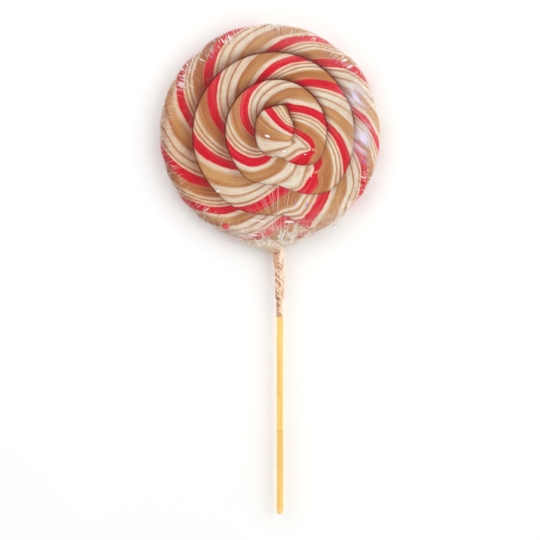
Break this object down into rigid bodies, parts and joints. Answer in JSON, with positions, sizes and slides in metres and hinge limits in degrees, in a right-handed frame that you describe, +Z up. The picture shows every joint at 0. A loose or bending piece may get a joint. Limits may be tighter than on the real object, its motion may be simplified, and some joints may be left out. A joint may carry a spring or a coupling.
{
  "type": "swirl lollipop",
  "caption": "Flat swirl lollipop: a twisted rope of striped hard candy coiled into a disc on a bamboo stick, in clear film twisted round the stick.",
  "frame": {"origin": "point that the coil turns about, on the disc's flat underside", "axes": "lying on its back: +Z up out of the shown face, stick along -Y, +X to the right of the shown face"},
  "size_m": [0.1202, 0.2663, 0.0122],
  "materials": {
    "candy": "satin",
    "bamboo": "satin",
    "film": "gloss"
  },
  "bodies": {
    "root": {"candy_coil": "candy", "stick": "bamboo", "film_neck": "film"}
  },
  "joints": []
}
